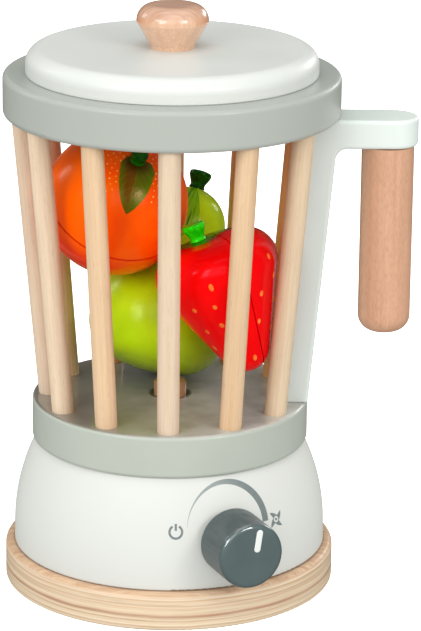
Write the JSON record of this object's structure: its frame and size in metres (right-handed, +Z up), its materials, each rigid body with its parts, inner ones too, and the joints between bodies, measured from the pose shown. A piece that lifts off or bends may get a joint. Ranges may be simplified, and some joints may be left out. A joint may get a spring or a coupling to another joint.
{
  "type": "toy blender",
  "caption": "Wooden toy blender: painted base with a turning dial, lift-off jug caged with dowels, side handle, knobbed lid and play fruit in halves.",
  "frame": {"origin": "on the jug's axis, in the plane of the base plate's underside", "axes": "+Z up along the jug's axis; +X toward the handle; the dial faces -Y and a little toward +X"},
  "size_m": [0.1722, 0.155, 0.2478],
  "materials": {
    "plywood": "clear satin varnish, plies showing on the edge",
    "white_paint": "satin white paint on turned wood",
    "grey_paint": "satin pale grey paint on turned wood",
    "handle_paint": "satin off-white paint on board",
    "slate_paint": "satin slate grey paint on turned wood",
    "dowel": "clear satin varnish on straight-grained dowel",
    "grip_wood": "clear satin varnish on turned wood",
    "peg_wood": "bare turned wood",
    "orange_paint": "gloss orange paint on turned wood",
    "pear_paint": "gloss yellow-green paint on turned wood",
    "berry_paint": "gloss red paint on turned wood",
    "dark_stem": "gloss dark green paint on wood",
    "bright_stem": "gloss bright green paint on wood",
    "steel": "zinc-plated steel",
    "nylon": "moulded nylon",
    "fastener_patch": "woven hook-and-loop patch"
  },
  "bodies": {
    "base": {"base_plate": "plywood", "plate_screws": "steel", "housing": "white_paint", "locating_peg": "peg_wood", "dial_spacer": "nylon"},
    "dial": {"dial_knob": "slate_paint", "dial_axle": "dowel", "dial_washer": "steel", "dial_screw": "steel"},
    "jug": {"jug_floor": "grey_paint", "rod_01": "dowel", "rod_02": "dowel", "rod_03": "dowel", "rod_04": "dowel", "rod_05": "dowel", "rod_06": "dowel", "rod_07": "dowel", "rod_08": "dowel", "rod_09": "dowel", "rod_10": "dowel", "rod_11": "dowel", "top_ring": "grey_paint", "handle_frame": "handle_paint", "handle_grip": "grip_wood", "grip_dowel": "dowel", "ring_dowels": "dowel", "foot_screws": "steel"},
    "lid": {"lid_disc": "white_paint", "lid_plug": "white_paint", "lid_knob": "grip_wood", "lid_screw": "steel"},
    "orange_upper": {"orange_top": "orange_paint", "orange_top_patch": "fastener_patch", "orange_stem": "dark_stem"},
    "orange_lower": {"orange_bottom": "orange_paint", "orange_bottom_patch": "fastener_patch"},
    "pear_upper": {"pear_top": "pear_paint", "pear_top_patch": "fastener_patch", "pear_stem": "dark_stem"},
    "pear_lower": {"pear_bottom": "pear_paint", "pear_bottom_patch": "fastener_patch"},
    "strawberry": {"berry_back": "berry_paint", "berry_back_patch": "fastener_patch", "berry_front": "berry_paint", "berry_front_patch": "fastener_patch", "berry_stem": "bright_stem"}
  },
  "joints": [
    {"name": "dial_turn", "type": "hinge", "parent": "base", "child": "dial", "pos_m": [0.02652, -0.06098, 0.0369], "axis": [0.3987, -0.9171, 0], "continuous": true},
    {"name": "jug_lift", "type": "slide", "parent": "base", "child": "jug", "axis": [0, 0, 1], "range_m": [0, 0.06]},
    {"name": "lid_lift", "type": "slide", "parent": "jug", "child": "lid", "axis": [0, 0, 1], "range_m": [0, 0.3]},
    {"name": "orange_upper_lift", "type": "slide", "parent": "jug", "child": "orange_upper", "axis": [0, 0, 1], "range_m": [0, 0.2165]},
    {"name": "orange_lower_lift", "type": "slide", "parent": "jug", "child": "orange_lower", "axis": [0, 0, 1], "range_m": [0, 0.1865]},
    {"name": "pear_upper_lift", "type": "slide", "parent": "jug", "child": "pear_upper", "axis": [0, 0, 1], "range_m": [0, 0.1865]},
    {"name": "strawberry_lift", "type": "slide", "parent": "jug", "child": "strawberry", "axis": [0, 0, 1], "range_m": [0, 0.1865]},
    {"name": "pear_lower_lift", "type": "slide", "parent": "jug", "child": "pear_lower", "axis": [0, 0, 1], "range_m": [0, 0.1685]}
  ],
  "couplings": [
    {"joint": "orange_upper_lift", "follows": "lid_lift", "ratio": 0.72},
    {"joint": "orange_lower_lift", "follows": "lid_lift", "ratio": 0.62},
    {"joint": "pear_upper_lift", "follows": "lid_lift", "ratio": 0.62},
    {"joint": "strawberry_lift", "follows": "lid_lift", "ratio": 0.62},
    {"joint": "pear_lower_lift", "follows": "lid_lift", "ratio": 0.56}
  ]
}
